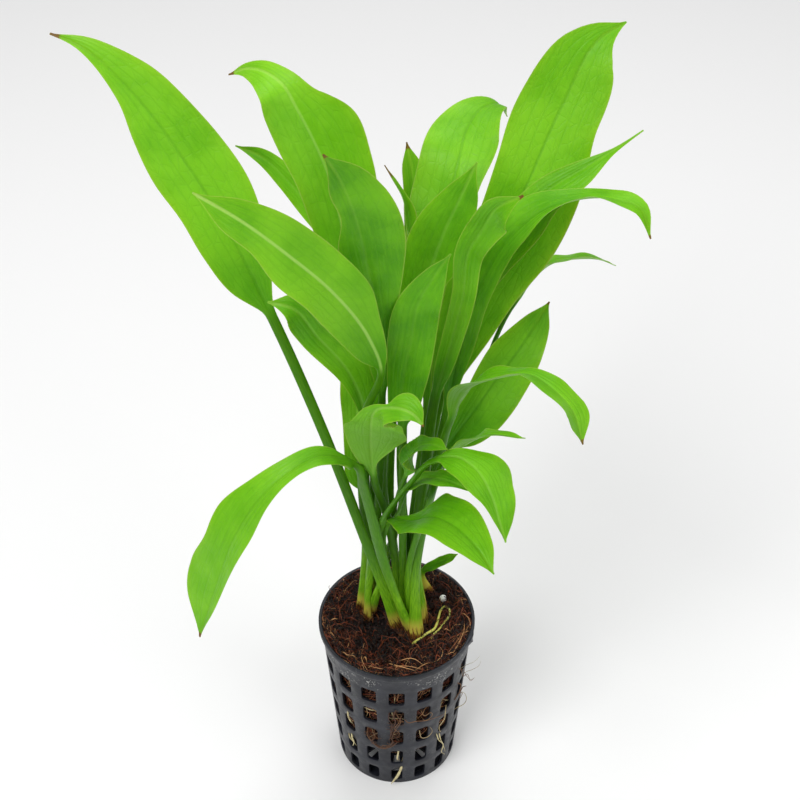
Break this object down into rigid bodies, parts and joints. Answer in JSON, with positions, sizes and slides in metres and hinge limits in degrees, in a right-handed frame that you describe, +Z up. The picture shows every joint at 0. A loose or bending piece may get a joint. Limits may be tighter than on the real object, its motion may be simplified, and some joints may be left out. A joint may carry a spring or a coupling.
{
  "type": "potted amazon sword plant",
  "caption": "Young amazon sword plant with long-stalked lance-shaped green leaves, rooted in coir in a round black net pot.",
  "frame": {"origin": "centre of the pot's underside", "axes": "+Z up, the plant's front towards -Y and its tall left leaf towards -X"},
  "size_m": [0.1553, 0.1088, 0.2599],
  "materials": {
    "black_plastic": "satin",
    "coir": "matte",
    "stem_base": "satin",
    "root": "satin",
    "white_mineral": "matte",
    "leaf_tall_left": "satin",
    "leaf_drooping_left": "satin",
    "leaf_front_curled": "satin",
    "leaf_dark_front": "satin",
    "leaf_dark_pointed": "satin",
    "leaf_tall_back": "satin",
    "leaf_short_upright": "satin",
    "leaf_twisted_right": "satin",
    "leaf_pointed_right": "satin",
    "leaf_tall_right": "satin",
    "leaf_pale_right": "satin",
    "leaf_back_right": "satin",
    "leaf_arching_right": "satin",
    "leaf_small_right": "satin",
    "leaf_arching_left": "satin",
    "leaf_rolled_young": "satin",
    "leaf_narrow_back": "satin",
    "leaf_low_left": "satin",
    "leaf_upper_left": "satin",
    "leaf_small_left": "satin",
    "leaf_hidden_left": "satin",
    "leaf_dark_centre": "satin",
    "leaf_front_right": "satin",
    "leaf_low_front": "satin",
    "leaf_small_front": "satin",
    "leaf_centre_bent": "satin",
    "leaf_torn_stub": "satin"
  },
  "bodies": {
    "root": {"net_pot": "black_plastic", "coir_plug": "coir", "crown_front": "stem_base", "crown_left": "stem_base", "surface_root": "root", "white_pellet": "white_mineral", "leaf_tall_left": "leaf_tall_left", "leaf_drooping_left": "leaf_drooping_left", "leaf_front_curled": "leaf_front_curled", "leaf_dark_front": "leaf_dark_front", "leaf_dark_pointed": "leaf_dark_pointed", "leaf_tall_back": "leaf_tall_back", "leaf_short_upright": "leaf_short_upright", "leaf_twisted_right": "leaf_twisted_right", "leaf_pointed_right": "leaf_pointed_right", "leaf_tall_right": "leaf_tall_right", "leaf_pale_right": "leaf_pale_right", "leaf_back_right": "leaf_back_right", "leaf_arching_right": "leaf_arching_right", "leaf_small_right": "leaf_small_right", "leaf_arching_left": "leaf_arching_left", "leaf_rolled_young": "leaf_rolled_young", "leaf_narrow_back": "leaf_narrow_back", "leaf_low_left": "leaf_low_left", "leaf_upper_left": "leaf_upper_left", "leaf_small_left": "leaf_small_left", "leaf_hidden_left": "leaf_hidden_left", "leaf_dark_centre": "leaf_dark_centre", "leaf_front_right": "leaf_front_right", "leaf_low_front": "leaf_low_front", "leaf_small_front": "leaf_small_front", "leaf_centre_bent": "leaf_centre_bent", "leaf_torn_stub": "leaf_torn_stub"}
  },
  "joints": []
}
